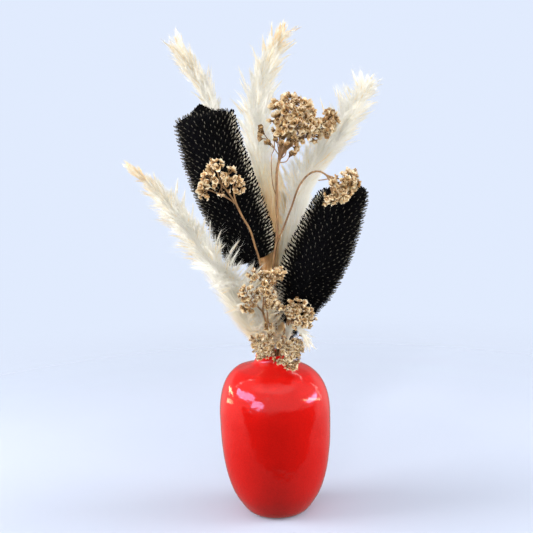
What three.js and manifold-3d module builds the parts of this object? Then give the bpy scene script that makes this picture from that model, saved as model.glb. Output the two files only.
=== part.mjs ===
// A dried flower arrangement standing in its glazed bud vase: two black protea-family
// (banksia) heads, five cream pampas plumes and seven sprays of small cream florets.
// Units are millimetres, +Z is up, and the origin is the centre of the vase's flat foot.
// The front of the arrangement looks along -Y.

import * as THREE from 'three';
import { mergeVertices } from 'three/addons/utils/BufferGeometryUtils.js';
import Module from 'manifold-3d';

const wasm = await Module();
wasm.setup();

// ---------------------------------------------------------------- driving dimensions

const VASE = {
  height: 167, // top of the rim above the floor
  neckInner: 14, // bore of the neck
  floorThickness: 6,
  segments: 36,
  // outside from the foot up to the lip, [radius, height]
  outside: [[26, 0], [31, 2.6], [36.3, 10], [43.9, 24.3], [50.4, 44], [54.9, 70], [56.3, 98],
    [56.1, 112], [54.3, 124], [50.6, 134.5], [45, 143], [37.5, 149.6], [29, 153.6], [22, 156.8],
    [18.4, 161.2], [17.7, 166]],
  // inside from the bore down to the middle of the floor
  inside: [[14.3, 166.2], [14, 158.5], [19, 152.4], [27, 149.4], [35.5, 145.3], [42, 139.5],
    [46.8, 131.5], [50, 121.5], [51.5, 110], [51.7, 98], [50.3, 71], [45.9, 46.5], [39.3, 27.5],
    [31.5, 13.5], [24, 7.2]],
};

const STEM_FOOT_Z = 9; // cut ends of the stems, just above the inside floor
const STEM_SPREAD = 1.3; // the stems stand this much further apart at the floor than in the neck
const STEM_RADIUS = { banksia: 3.5, pampas: 1.6, tuft: 1.2 };

// Each head: place of its stem in the neck, the line of its axis, and its radius over the
// styles in even stops from the base to the top, where a low dome closes it.
const BANKSIA = {
  styleLength: 6, // the stiff styles stand this far out of the black core
  columns: 34,
  rings: 31,
  topDome: 9, // height of the low dome
  topArc: 27, // length of the core's skin over half the dome
};
const BANKSIA_HEADS = {
  banksia_left: {
    neck: [-5, -2], base: [-15, -8, 257], top: [-66, -3, 420],
    radii: [14, 25.5, 29.5, 30.8, 31, 31, 30.6, 30, 29], seed: 11,
  },
  banksia_right: {
    neck: [5.4, -1.6], base: [24, -8, 198], top: [78, -4, 338],
    radii: [13, 22, 27.5, 30.4, 31.2, 31, 30.2, 28.6, 25.5], seed: 23,
  },
};

// Each plume: place in the neck, points of its axis, the height where its hairs start, and
// the hairs' reach from the axis and their length, in even stops from the start to the tip.
const PLUME = { columns: 12, spacing: 7, coreRadius: 2.2, stemSides: 5, stemSteps: 12 };
const PLUMES = {
  pampas_tall: {
    neck: [-1, 4],
    axis: [[1, 16, 218], [1, 24, 253], [-1, 32, 288], [-4, 40, 329], [-9, 47, 369], [-9, 52, 404],
      [-1, 58, 439], [11, 64, 464], [24, 68, 481]],
    hairsFromHeight: 214, reach: [5, 9, 12, 16, 21, 19, 7], length: [22, 28, 32, 38, 40, 34, 18],
    seed: 3,
  },
  pampas_right: {
    neck: [5, 5],
    axis: [[9, 14, 218], [15, 20, 253], [24, 27, 290], [34, 33, 323], [50, 39, 352], [71, 45, 380],
      [90, 50, 406], [104, 54, 427]],
    hairsFromHeight: 246, reach: [5, 10, 17, 20, 18, 10], length: [22, 30, 36, 36, 32, 22], seed: 5,
  },
  pampas_left: {
    neck: [-9, -6.2],
    axis: [[-18, -14, 192], [-29, -20, 212], [-43, -28, 242], [-61, -37, 273], [-75, -45, 300],
      [-91, -52, 324], [-106, -57, 342], [-120, -61, 356]],
    hairsFromHeight: 190, reach: [6, 14, 19, 19, 16, 11, 4], length: [24, 34, 38, 36, 32, 26, 18],
    seed: 7,
  },
  pampas_top_left: {
    neck: [-6, 7.5],
    axis: [[-9, 20, 218], [-24, 31, 279], [-40, 42, 340], [-50, 49, 401], [-57, 51, 424],
      [-69, 53, 448], [-80, 55, 466]],
    hairsFromHeight: 392, reach: [10, 13, 14, 12], length: [30, 34, 34, 28], seed: 9,
  },
};
const TUFT = {
  pampas_small: {
    neck: [10.8, -3.4],
    axis: [[14.5, -15, 179], [18, -25, 189], [22.5, -32, 196], [28, -36, 199], [34, -39, 194],
      [38, -41, 187]],
    hairsFromHeight: 179, reach: [3, 4.4, 4.4, 3.6], length: [9, 12, 12, 10], seed: 13,
  },
};

// Each spray: place in the neck, points and radius of its main stem, and its clusters of
// florets, each [x, y, z, number of florets round the front one].
const FLORET = { radius: 3.1, length: 4.4, dish: 1.0 };
const CLUSTER = { backRadius: 2.4, frontRadius: 1.5, depth: 2.2, lean: new THREE.Vector3(0, -0.5, 0) };
const BRANCH = { radius: 0.75, sides: 3, steps: 2, stretch: 14 };
const SPRAYS = {
  yarrow_left: {
    neck: [-4.6, -7.2], seed: 31, stemRadius: 1.3,
    stem: [[-4, -20, 206], [-7, -31, 248], [-13, -41, 282], [-20, -45, 306], [-28, -48, 325]],
    clusters: [[-47, -52, 362, 5], [-57, -52, 352, 4], [-63, -52, 338, 4], [-49, -56, 344, 4],
      [-36, -55, 354, 4], [-26, -51, 357, 3], [-28, -50, 343, 4]],
  },
  yarrow_top: {
    neck: [0.5, -6.2], seed: 37, stemRadius: 1.6,
    stem: [[2, -9, 223], [4, -15, 263], [8, -17, 295], [9, -15, 329], [10, -11, 353], [15, -8, 370]],
    clusters: [[0, -6, 394, 4], [12, -2, 413, 4], [25, 0, 421, 4], [38, -1, 415, 4], [13, -9, 400, 3],
      [28, -12, 405, 4], [21, -10, 390, 4], [36, -12, 393, 3], [48, -4, 402, 3], [46, -5, 385, 3],
      [63, 0, 403, 4], [59, -2, 389, 4], [27, -5, 377, 3]],
  },
  yarrow_right: {
    neck: [3.6, -8.6], seed: 41, stemRadius: 1.1,
    stem: [[4, -14, 224], [3, -20, 264], [7, -22, 281], [14, -27, 298], [22, -33, 318], [31, -40, 341],
      [41, -45, 352], [52, -49, 353]],
    clusters: [[59, -54, 340, 4], [68, -55, 347, 4], [78, -51, 345, 4], [72, -54, 333, 4],
      [62, -52, 327, 4], [53, -51, 332, 3]],
  },
  yarrow_low_centre: {
    neck: [-2, -10.2], seed: 43, stemRadius: 1.3,
    stem: [[-4, -22, 191], [-6, -32, 206], [-9, -40, 220]],
    clusters: [[-19, -50, 257, 4], [-8, -52, 257, 4], [4, -51, 256, 4], [-2, -55, 244, 4],
      [1, -56, 231, 3], [-12, -53, 239, 4], [-27, -56, 247, 4], [-32, -57, 234, 4], [-23, -58, 226, 3],
      [-4, -46, 210, 4]],
  },
  yarrow_low_right: {
    neck: [6.3, -9.9], seed: 47, stemRadius: 1.2,
    stem: [[10, -24, 190], [16, -36, 206]],
    clusters: [[17, -47, 226, 4], [28, -46, 231, 4], [38, -45, 223, 4], [39, -46, 211, 3],
      [28, -50, 215, 4]],
  },
  yarrow_neck_left: {
    neck: [-6.8, -9.8], seed: 53, stemRadius: 1.1,
    stem: [[-10, -22, 179], [-11, -31, 184]],
    clusters: [[-18, -37, 190, 4], [-9, -37, 194, 4], [-2, -35, 193, 3], [-19, -38, 179, 4],
      [-9, -42, 182, 4], [-8, -39, 172, 4]],
  },
  yarrow_neck_right: {
    neck: [9.2, -7.2], seed: 59, stemRadius: 1.1,
    stem: [[12, -20, 178], [14, -30, 180]],
    clusters: [[10, -38, 186, 4], [17, -38, 190, 4], [26, -36, 184, 4], [26, -38, 174, 3],
      [16, -42, 178, 4], [10, -40, 169, 3], [20, -40, 164, 4]],
  },
};

// ---------------------------------------------------------------- small tools

// Repeatable draws between low and high.
function drawer(seed) {
  let state = seed * 7919;
  return (low, high) => {
    state = (state * 1103515245 + 12345) % 2147483648;
    return low + ((high - low) * state) / 2147483648;
  };
}

const vector = ([x, y, z]) => new THREE.Vector3(x, y, z);

// A value read off evenly spaced stops, t from 0 to 1.
function along(stops, t) {
  const place = Math.min(Math.max(t, 0), 1) * (stops.length - 1);
  const index = Math.min(Math.floor(place), stops.length - 2);
  return THREE.MathUtils.lerp(stops[index], stops[index + 1], place - index);
}

// A closed three.js geometry as a solid that can be joined to others.
function solid(geometry) {
  const bare = geometry.clone();
  bare.deleteAttribute('normal');
  bare.deleteAttribute('uv');
  const merged = mergeVertices(bare, 1e-4);
  return new wasm.Manifold(new wasm.Mesh({
    numProp: 3,
    vertProperties: new Float32Array(merged.attributes.position.array),
    triVerts: new Uint32Array(merged.index.array),
  }));
}

function geometryOf(body) {
  const mesh = body.getMesh();
  const geometry = new THREE.BufferGeometry();
  geometry.setAttribute('position', new THREE.BufferAttribute(mesh.vertProperties, 3));
  geometry.setIndex(new THREE.BufferAttribute(mesh.triVerts, 1));
  geometry.computeVertexNormals();
  return geometry;
}

// Many solids joined into one body. A pocket that the join seals inside is filled.
function join(geometries) {
  const skins = wasm.Manifold.union(geometries.map(solid)).decompose();
  skins.sort((one, other) => other.volume() - one.volume());
  return geometryOf(skins[0]);
}

function indexed(points, triangles) {
  const geometry = new THREE.BufferGeometry();
  const flat = points.flatMap((point) => [point.x, point.y, point.z]);
  geometry.setAttribute('position', new THREE.Float32BufferAttribute(flat, 3));
  geometry.setIndex(triangles);
  return geometry;
}

// A round rod along a curve.
function rod(curve, radius, sides, steps) {
  const ring = Array.from({ length: sides }, (_, k) => {
    const angle = (2 * Math.PI * k) / sides;
    return new THREE.Vector2(radius * Math.cos(angle), radius * Math.sin(angle));
  });
  return new THREE.ExtrudeGeometry(new THREE.Shape(ring), {
    steps, extrudePath: curve, bevelEnabled: false,
  });
}

// Frames that turn with a curve without twisting about it.
function framesAlong(curve, places) {
  let side = new THREE.Vector3(0, 1, 0);
  return places.map((t) => {
    const forward = curve.getTangentAt(t);
    side = side.clone().addScaledVector(forward, -side.dot(forward)).normalize();
    return { centre: curve.getPointAt(t), forward, side, across: forward.clone().cross(side) };
  });
}

function outwardAt(frame, angle) {
  return frame.side.clone().multiplyScalar(Math.cos(angle))
    .addScaledVector(frame.across, Math.sin(angle));
}

// The skin of a bristled body: rings of base points with every second point drawn out to a
// tip, staggered from ring to ring, so that every quad folds along the line of its two base
// points. The first and last rings stay smooth and close on a pole.
function bristled(rings, columns, basePoint, tipPoint, firstPole, lastPole) {
  const points = [];
  for (let row = 0; row < rings; row += 1) {
    for (let column = 0; column < columns; column += 1) {
      const drawnOut = (row + column) % 2 === 1 && row > 0 && row < rings - 1;
      points.push(drawnOut ? tipPoint(row, column) : basePoint(row, column));
    }
  }
  const first = points.push(firstPole) - 1;
  const last = points.push(lastPole) - 1;
  const triangles = [];
  for (let column = 0; column < columns; column += 1) {
    const next = (column + 1) % columns;
    triangles.push(first, next, column);
    const top = (rings - 1) * columns;
    triangles.push(last, top + column, top + next);
    for (let row = 0; row < rings - 1; row += 1) {
      const a = row * columns + column;
      const b = row * columns + next;
      const c = a + columns;
      const d = b + columns;
      if ((row + column) % 2 === 1) triangles.push(a, b, c, b, d, c);
      else triangles.push(a, b, d, a, d, c);
    }
  }
  return indexed(points, triangles);
}

// The curve of a stem from the inside floor of the vase, through the neck, to its head.
function stemCurve(neck, points) {
  const [x, y] = neck;
  return new THREE.CatmullRomCurve3([
    new THREE.Vector3(x * STEM_SPREAD, y * STEM_SPREAD, STEM_FOOT_Z),
    new THREE.Vector3(x, y, VASE.height - 15),
    new THREE.Vector3(x, y, VASE.height),
    ...points.map(vector),
  ]);
}

// ---------------------------------------------------------------- the vase

function vaseGeometry() {
  const outside = new THREE.SplineCurve(VASE.outside.map(([r, z]) => new THREE.Vector2(r, z)));
  const inside = new THREE.SplineCurve(VASE.inside.map(([r, z]) => new THREE.Vector2(r, z)));
  const profile = [
    new THREE.Vector2(0, 0),
    ...outside.getPoints(14),
    new THREE.Vector2((VASE.neckInner + VASE.outside.at(-1)[0]) / 2, VASE.height),
    ...inside.getPoints(8),
    new THREE.Vector2(0, VASE.floorThickness),
  ];
  return new THREE.LatheGeometry(profile, VASE.segments).rotateX(Math.PI / 2);
}

// ---------------------------------------------------------------- banksia heads

// Distance of the core's skin from the axis, t from 0 at the base to 1 at the top.
function headRadius(t, length, radii) {
  const flank = along(radii, t) - BANKSIA.styleLength;
  const fromTop = THREE.MathUtils.clamp(((1 - t) * length) / BANKSIA.topDome, 0, 1);
  return flank * Math.sqrt(1 - (1 - fromTop) ** 2);
}

// Places of the rings along a head: even steps up its flank and then round its top dome.
function ringHeights(rings, length) {
  const flank = length - BANKSIA.topDome;
  const total = flank + BANKSIA.topArc;
  return Array.from({ length: rings }, (_, row) => {
    const walked = (total * row) / (rings - 0.4);
    if (walked <= flank) return walked / length;
    const turn = ((walked - flank) / BANKSIA.topArc) * (Math.PI / 2);
    return (flank + BANKSIA.topDome * Math.sin(turn)) / length;
  });
}

function banksiaGeometry({ neck, base, top, radii, seed }) {
  const draw = drawer(seed);
  const start = vector(base);
  const axis = new THREE.LineCurve3(start, vector(top));
  const length = axis.getLength() - BANKSIA.styleLength; // the core stops short of the style tips
  const { columns, rings, styleLength } = BANKSIA;
  const heights = ringHeights(rings, length);
  const frame = framesAlong(axis, [0.5])[0];
  const at = (t, angle) => start.clone().addScaledVector(frame.forward, t * length)
    .addScaledVector(outwardAt(frame, angle), headRadius(t, length, radii));
  const angleOf = (column) => (2 * Math.PI * column) / columns;
  const basePoint = (row, column) => at(heights[row], angleOf(column));
  const tipPoint = (row, column) => {
    const t = heights[row];
    const step = 0.01;
    const rise = (headRadius(t + step, length, radii) - headRadius(t - step, length, radii));
    const normal = outwardAt(frame, angleOf(column)).multiplyScalar(2 * step * length)
      .addScaledVector(frame.forward, -rise).normalize();
    return basePoint(row, column).addScaledVector(normal, styleLength * draw(0.88, 1.0));
  };
  const firstPole = start.clone().addScaledVector(frame.forward, -2);
  const lastPole = start.clone().addScaledVector(frame.forward, length);
  const head = bristled(rings, columns, basePoint, tipPoint, firstPole, lastPole);
  const sunkEnd = start.clone().addScaledVector(frame.forward, 12);
  const stem = rod(stemCurve(neck, [base, sunkEnd.toArray()]), STEM_RADIUS.banksia, 7, 12);
  return join([head, stem]);
}

// ---------------------------------------------------------------- pampas plumes

// How far along a curve, from 0 to 1, it first rises to a height.
function placeAtHeight(curve, height) {
  const steps = 400;
  for (let step = 0; step < steps; step += 1) {
    if (curve.getPointAt(step / steps).z >= height) return step / steps;
  }
  return 1;
}

// The part of a curve below a place, as a curve of its own.
function lowerPart(curve, place, points) {
  return new THREE.CatmullRomCurve3(
    Array.from({ length: points }, (_, k) => curve.getPointAt((place * k) / (points - 1))),
  );
}

function plumeGeometry({ neck, axis, hairsFromHeight, reach, length, seed }, stemRadius) {
  const draw = drawer(seed);
  const curve = stemCurve(neck, axis);
  const { columns, spacing, stemSides, stemSteps } = PLUME;
  const from = placeAtHeight(curve, hairsFromHeight);
  const rings = Math.round((curve.getLength() * (1 - from)) / spacing);
  const places = Array.from({ length: rings }, (_, row) => from + ((1 - from) * row) / (rings - 1));
  const frames = framesAlong(curve, places);
  const angleOf = (column) => (2 * Math.PI * column) / columns;
  const coreRadius = PLUME.coreRadius * (stemRadius / STEM_RADIUS.pampas);
  const thickness = (t) => coreRadius * (1 - 0.55 * t);
  const basePoint = (row, column) => frames[row].centre.clone()
    .addScaledVector(outwardAt(frames[row], angleOf(column)), thickness(row / (rings - 1)));
  const tipPoint = (row, column) => {
    const t = row / (rings - 1);
    const size = draw(0.72, 1.0);
    const out = along(reach, t) * size - thickness(t);
    const forward = Math.sqrt((along(length, t) * size) ** 2 - out ** 2);
    return basePoint(row, column).addScaledVector(outwardAt(frames[row], angleOf(column)), out)
      .addScaledVector(frames[row].forward, forward);
  };
  const firstPole = frames[0].centre.clone().addScaledVector(frames[0].forward, -1);
  const lastPole = frames.at(-1).centre.clone().addScaledVector(frames.at(-1).forward, 2);
  const hairs = bristled(rings, columns, basePoint, tipPoint, firstPole, lastPole);
  const sunkPlace = from + 4 / curve.getLength();
  const stem = rod(lowerPart(curve, sunkPlace, 10), stemRadius, stemSides, stemSteps);
  return join([hairs, stem]);
}

// ---------------------------------------------------------------- sprays of florets

// A cluster of florets grown out of one small core. The core is a short tapered prism, and
// every face but its back grows into a floret that flares outward and is dished on top.
function clusterGeometry(centre, facing, sides, draw) {
  const frame = framesAlong(new THREE.LineCurve3(centre, centre.clone().add(facing)), [0.5])[0];
  const turn = draw(0, 2 * Math.PI);
  const ring = (radius, height) => Array.from({ length: sides }, (_, k) => centre.clone()
    .addScaledVector(facing, height)
    .addScaledVector(outwardAt(frame, turn + (2 * Math.PI * k) / sides), radius));
  const points = [...ring(CLUSTER.backRadius, 0), ...ring(CLUSTER.frontRadius, CLUSTER.depth)];
  const front = Array.from({ length: sides }, (_, k) => sides + k);
  const flanks = front.map((_, k) => {
    const next = (k + 1) % sides;
    return [k, next, sides + next, sides + k];
  });
  const triangles = [];
  for (let k = 1; k < sides - 1; k += 1) triangles.push(0, k + 1, k);
  for (const face of [front, ...flanks]) {
    const size = draw(0.85, 1.15);
    const corners = face.map((index) => points[index]);
    const middle = new THREE.Vector3();
    corners.forEach((corner) => middle.addScaledVector(corner, 1 / corners.length));
    const outward = corners[1].clone().sub(corners[0])
      .cross(corners[2].clone().sub(corners[0])).normalize();
    const rim = corners.map((corner) => points.push(
      corner.clone().sub(middle).setLength(FLORET.radius * size)
        .add(middle).addScaledVector(outward, FLORET.length * size),
    ) - 1);
    const dish = points.push(
      middle.clone().addScaledVector(outward, FLORET.length * size - FLORET.dish),
    ) - 1;
    face.forEach((index, k) => {
      const next = (k + 1) % face.length;
      triangles.push(index, face[next], rim[next], index, rim[next], rim[k]);
      triangles.push(dish, rim[k], rim[next]);
    });
  }
  return indexed(points, triangles);
}

// The branches leave the stem one after another over its last stretch.
function sprayGeometry({ neck, stem, stemRadius, clusters, seed }) {
  const draw = drawer(seed);
  const curve = stemCurve(neck, stem);
  const stretch = BRANCH.stretch / curve.getLength();
  const parts = [rod(curve, stemRadius, 4, 12)];
  clusters.forEach(([x, y, z, sides], k) => {
    const place = 1 - stretch * (1 - (k + 0.5) / clusters.length);
    const fork = curve.getPointAt(place);
    const centre = new THREE.Vector3(x, y, z);
    const bend = fork.clone().lerp(centre, 0.4)
      .addScaledVector(curve.getTangentAt(place), centre.distanceTo(fork) * 0.18);
    const branch = new THREE.QuadraticBezierCurve3(fork, bend, centre);
    const facing = branch.getTangentAt(1).addScaledVector(CLUSTER.lean, 1).normalize();
    const back = centre.clone().addScaledVector(facing, -CLUSTER.depth * 0.5);
    parts.push(rod(branch, BRANCH.radius, BRANCH.sides, BRANCH.steps));
    parts.push(clusterGeometry(back, facing, sides, draw));
  });
  return join(parts);
}

// ---------------------------------------------------------------- assembly

const finish = (colour, roughness, metalness = 0) => new THREE.MeshStandardMaterial({
  color: colour, roughness, metalness,
});
const MATERIALS = {
  glaze: finish(0xc81a18, 0.12),
  banksia: finish(0x17161a, 0.85),
  pampas: finish(0xe9ddc0, 0.9),
  yarrow: finish(0xd8c29a, 0.85),
};

const group = new THREE.Group();

function add(name, geometry, material) {
  const mesh = new THREE.Mesh(geometry, material);
  mesh.name = name;
  group.add(mesh);
}

add('vase', vaseGeometry(), MATERIALS.glaze);
for (const [name, head] of Object.entries(BANKSIA_HEADS)) {
  add(name, banksiaGeometry(head), MATERIALS.banksia);
}
for (const [name, plume] of Object.entries(PLUMES)) {
  add(name, plumeGeometry(plume, STEM_RADIUS.pampas), MATERIALS.pampas);
}
for (const [name, tuft] of Object.entries(TUFT)) {
  add(name, plumeGeometry(tuft, STEM_RADIUS.tuft), MATERIALS.pampas);
}
for (const [name, spray] of Object.entries(SPRAYS)) {
  add(name, sprayGeometry(spray), MATERIALS.yarrow);
}

export default group;
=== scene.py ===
"""The looks of a dried flower arrangement in its glazed bud vase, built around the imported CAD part.

Sizes and places are in millimetres, as in the part's own source, and become metres where a mesh
is made. The front of the arrangement looks along -Y. Every random draw is seeded.
"""

import functools
import math

import bpy
import numpy as np
from mathutils import Matrix, Vector


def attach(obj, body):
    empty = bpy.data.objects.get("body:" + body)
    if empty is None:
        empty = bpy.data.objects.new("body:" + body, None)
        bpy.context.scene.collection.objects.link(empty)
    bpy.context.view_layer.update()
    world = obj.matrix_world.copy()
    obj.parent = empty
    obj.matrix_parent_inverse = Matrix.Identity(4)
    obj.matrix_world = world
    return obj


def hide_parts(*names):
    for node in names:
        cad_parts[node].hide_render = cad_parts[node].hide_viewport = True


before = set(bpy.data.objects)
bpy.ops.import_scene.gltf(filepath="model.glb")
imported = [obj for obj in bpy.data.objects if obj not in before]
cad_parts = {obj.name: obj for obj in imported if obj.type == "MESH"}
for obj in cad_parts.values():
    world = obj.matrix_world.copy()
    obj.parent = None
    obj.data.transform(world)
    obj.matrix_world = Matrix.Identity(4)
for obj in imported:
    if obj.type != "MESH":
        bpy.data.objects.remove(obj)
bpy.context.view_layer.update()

MM = 0.001

# ---------------------------------------------------------------- driving dimensions

VASE_HEIGHT = 167.0
NECK_INNER = 14.0
# outside from the foot up to the lip, and inside from the bore down to the floor: [radius, height]
VASE_OUTSIDE = [
    (24.5, 0), (30.5, 2.6), (37, 10), (45.3, 24.3), (51.4, 44), (55.2, 70), (56.3, 98), (56.1, 112),
    (54.3, 124), (50.6, 134.5), (45, 143), (37.5, 149.6), (29, 153.6), (22, 156.8), (18.4, 161.2),
    (17.7, 166),
]
VASE_INSIDE = [
    (14.3, 166.2), (14, 158.5), (19, 152.4), (27, 149.4), (35.5, 145.3), (42, 139.5),
    (46.8, 131.5), (50, 121.5), (51.5, 110), (51.7, 98), (50.3, 71), (45.9, 46.5), (39.3, 27.5),
    (31.5, 13.5), (24, 7.2),
]
VASE_FLOOR = 6.0
VASE_SEGMENTS = 192
SHOULDER_LIFT = 3.2  # the left shoulder is thrown a little higher than the right
SHOULDER_FULL = 40.0  # this far to the left the lift is full
SHOULDER_ZONE = [108, 138, 150, 158]  # the heights where the lift starts, is full, and ends
FOOT_RECESS = 1.0
FOOT_RING = (20.0, 25.0)  # the bare clay ring that the vase stands on, inner and outer radius
CLAY_HEIGHT = 0.6  # the glaze starts this far above the foot

STEM_FOOT_Z = 9.0  # the middle of a stem's lower end, inside the vase
STEM_SPREAD = 1.3  # how much further apart the stems stand there than in the neck
STEM_RADIUS = {"banksia": 3.5, "pampas": 1.6, "tuft": 1.2}

STYLE_LENGTH = 4.8  # how far the styles stand out of the core
RING_STEP = 3.3  # along the head from one ring of styles to the next
STYLE_STEP = 7.2  # round the head from one style to the next
FURRED = 27.0  # length of the stalk under a head that is furred
CROWN_STYLE = 1.7  # the unopened styles at the top are shorter
CROWN_ZONE = [5, 16]  # over these distances below the tip the styles come to their full length
CORE_RINGS, CORE_SIDES = 110, 100
KNOB_HEIGHT, KNOBS_ROUND, KNOBS_ALONG = 0.8, 34, 1.1  # the last in radians per millimetre
DARK_HAIRS = 15000  # between the styles of a head
STALK_HAIRS = 2600
# a style from its root to its end: outwards and up along the head as shares of its length, and its
# radius
STYLE_OUT = np.array([-0.25, 0.20, 0.55, 0.78, 0.94, 1.04, 1.08])
STYLE_UP = np.array([-0.22, 0.0, 0.14, 0.28, 0.40, 0.48, 0.50])
STYLE_RADIUS = np.array([0.5, 0.42, 0.40, 0.40, 0.40, 0.36, 0.24])
# its tones, from black to pale: on most of the head, towards the middle of the arrangement, where the
# weathered pale ends also wear a painted highlight, brightest at the bend, and away
PLAIN_TONES = np.array([0, 0, 0.30, 0.38, 0.43, 0.43, 0.36])
PALE_ENDS_AND_HIGHLIGHT_TONES = np.array([0, 0.38, 0.62, 0.92, 1.0, 0.72, 0.45])
GREYEST_TONES = np.array([0.1, 0.32, 0.42, 0.46, 0.48, 0.47, 0.40])
# Each head: its stem's place in the neck, its axis from the base to the top, its random seed, how
# much of its base is trimmed, how far the stalk runs on into it, how pale its styles' ends are, its
# radius over the styles in even stops from the base to the top, how steeply its crown falls to the
# right, how far its axis sways to the right in even stops, and the outline of its crown as
# distances below the tip with the core's radius there.
HEADS = {
    "banksia_left": {
        "neck": (-5, -2), "base": (-15, -8, 257), "top": (-66, -3, 420), "seed": 11, "trim": 9,
        "sunk": 13, "pale": 1.06, "radii": [25, 29.5, 30.5, 31.3, 31.8, 31.8, 31.3, 30.5, 29],
        "slant": 0.17, "sway": [0, -0.5, -1.5, -2.5, -2.2, 0, 2.5],
        "crown": [(0, 0), (1.2, 1.5), (3.5, 5), (7, 8.5), (9, 11.5), (10.5, 16), (12, 22), (15.5, 26)],
    },
    "banksia_right": {
        "neck": (5.4, -1.6), "base": (24, -8, 198), "top": (78, -4, 338), "seed": 23, "trim": 0,
        "sunk": 12, "pale": 0.98, "radii": [14, 21.5, 28.5, 31.3, 31.9, 30.4, 29, 25.5, 22.5],
        "slant": -0.30, "sway": [-4.5, -4.5, -2.5, 0.5, 1.8, 3.5],
        "crown": [(0, 0), (0.8, 6), (2.5, 12), (5.5, 17), (9, 19.5)],
    },
}

# Each plume: its stem's place in the neck, the height where its hairs start, its random seed, how
# many wisps it has, its kind and the points of its axis. In even stops from the hairs' start to the
# tip: their reach from the axis, their length, how tan they are and how loosely they stand, both
# from 0 to 1, and their shift to the right. A plume may be fuller towards one side, end in a point
# of its own length, and wear a sheath of long fibres round its stem between two heights.
PLUMES = {
    "pampas_tall": {
        "neck": (-1, 4), "hairs_from": 214, "seed": 3, "wisps": 250, "kind": "pampas",
        "sheath": {"heights": (176, 350), "radii": [9, 11, 13, 15, 15, 16, 15], "number": 5000,
                   "aside": [0, 0, -1, 0, 5, 8, 4], "tan": [1.0, 0.95, 0.9, 0.8, 0.6, 0.3]},
        "axis": [(1, 16, 218), (1, 24, 253), (-1, 32, 288), (-4, 40, 329), (-9, 47, 369),
                 (-9, 52, 404), (-1, 58, 439), (9, 64, 464), (19, 68, 481)],
        "reach": [6, 9, 13, 20, 23, 20, 16, 8], "length": [22, 28, 32, 38, 40, 38, 32, 20],
        "tan": [0.9, 0.8, 0.55, 0.15, 0.0, 0.02, 0.18, 0.45],
        "loose": [0.1, 0.2, 0.5, 0.9, 1, 1, 0.8, 0.5], "point": 8,
    },
    "pampas_right": {
        "neck": (5, 5), "hairs_from": 246, "seed": 5, "wisps": 230, "kind": "pampas",
        "sheath": {"heights": (176, 320), "radii": [6, 8, 10, 12, 12], "number": 4000,
                   "aside": [0, 0, 0, 0, 0], "tan": [0.9, 0.7, 0.45, 0.2, 0.1]},
        "axis": [(9, 14, 218), (15, 20, 253), (24, 27, 290), (34, 33, 323), (50, 39, 352),
                 (71, 45, 380), (90, 50, 406), (104, 54, 427)],
        "reach": [6, 13, 20, 23, 19, 11], "length": [22, 30, 38, 38, 32, 22],
        "tan": [0.6, 0.3, 0.1, 0.04, 0.04, 0.12], "fuller": (-0.35, 0, 0),
        "shift": [-2, -6, -5, 0, 0, 0],
        "loose": [0.2, 0.5, 0.9, 1, 1, 1],
    },
    "pampas_left": {
        "neck": (-9, -6.2), "hairs_from": 174, "seed": 7, "wisps": 290, "kind": "pampas",
        "shift": [16, 18, 20, 15, 5, 0, 0, 0, 0, 0],
        "sheath": {"heights": (170, 246), "radii": [5, 9, 12, 11, 8], "number": 1800,
                   "aside": [4, 9, 13, 17, 19], "tan": [0.3, 0.15, 0.08, 0.05]},
        "axis": [(-18, -14, 192), (-29, -20, 212), (-43, -28, 242), (-61, -37, 273),
                 (-75, -45, 300), (-91, -52, 324), (-106, -57, 344), (-121, -61, 359.5)],
        "reach": [16, 23, 25, 23, 21, 20, 18, 14, 5, 2],
        "length": [20, 23, 26, 28, 31, 33, 30, 26, 20, 18],
        "tan": [0.4, 0.35, 0.25, 0.15, 0.06, 0.04, 0.08, 0.15, 0.35, 0.45], "fuller": (0.1, 0, 0),
        "loose": [0.8, 1, 1, 1, 1, 1, 0.9, 0.6, 0.05, 0], "point": 17,
    },
    "pampas_top_left": {
        "neck": (-6, 7.5), "hairs_from": 392, "seed": 9, "wisps": 90, "kind": "pampas",
        "axis": [(-9, 20, 218), (-24, 31, 279), (-40, 42, 340), (-50, 49, 401), (-57, 51, 424),
                 (-69, 53, 448), (-80, 55, 466)],
        "reach": [8, 11, 13, 11, 9], "length": [24, 30, 34, 32, 28],
        "tan": [0.0, 0.04, 0.12, 0.2, 0.25],
        "loose": [0.15, 0.2, 0.25, 0.25, 0.3],
    },
    "pampas_small": {
        "neck": (10.8, -3.4), "hairs_from": 174, "seed": 13, "wisps": 60, "kind": "tuft",
        "axis": [(13, -15, 179), (14.5, -26, 190), (17, -33, 199), (22, -36.5, 202.5),
                 (28, -38.5, 198), (33, -40, 188)],
        "reach": [4, 5, 5, 5], "length": [14, 15, 14, 12],
        "tan": [0.35, 0.2, 0.12, 0.2],
        "loose": [0.15, 0.2, 0.2, 0.2],
    },
}

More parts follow.
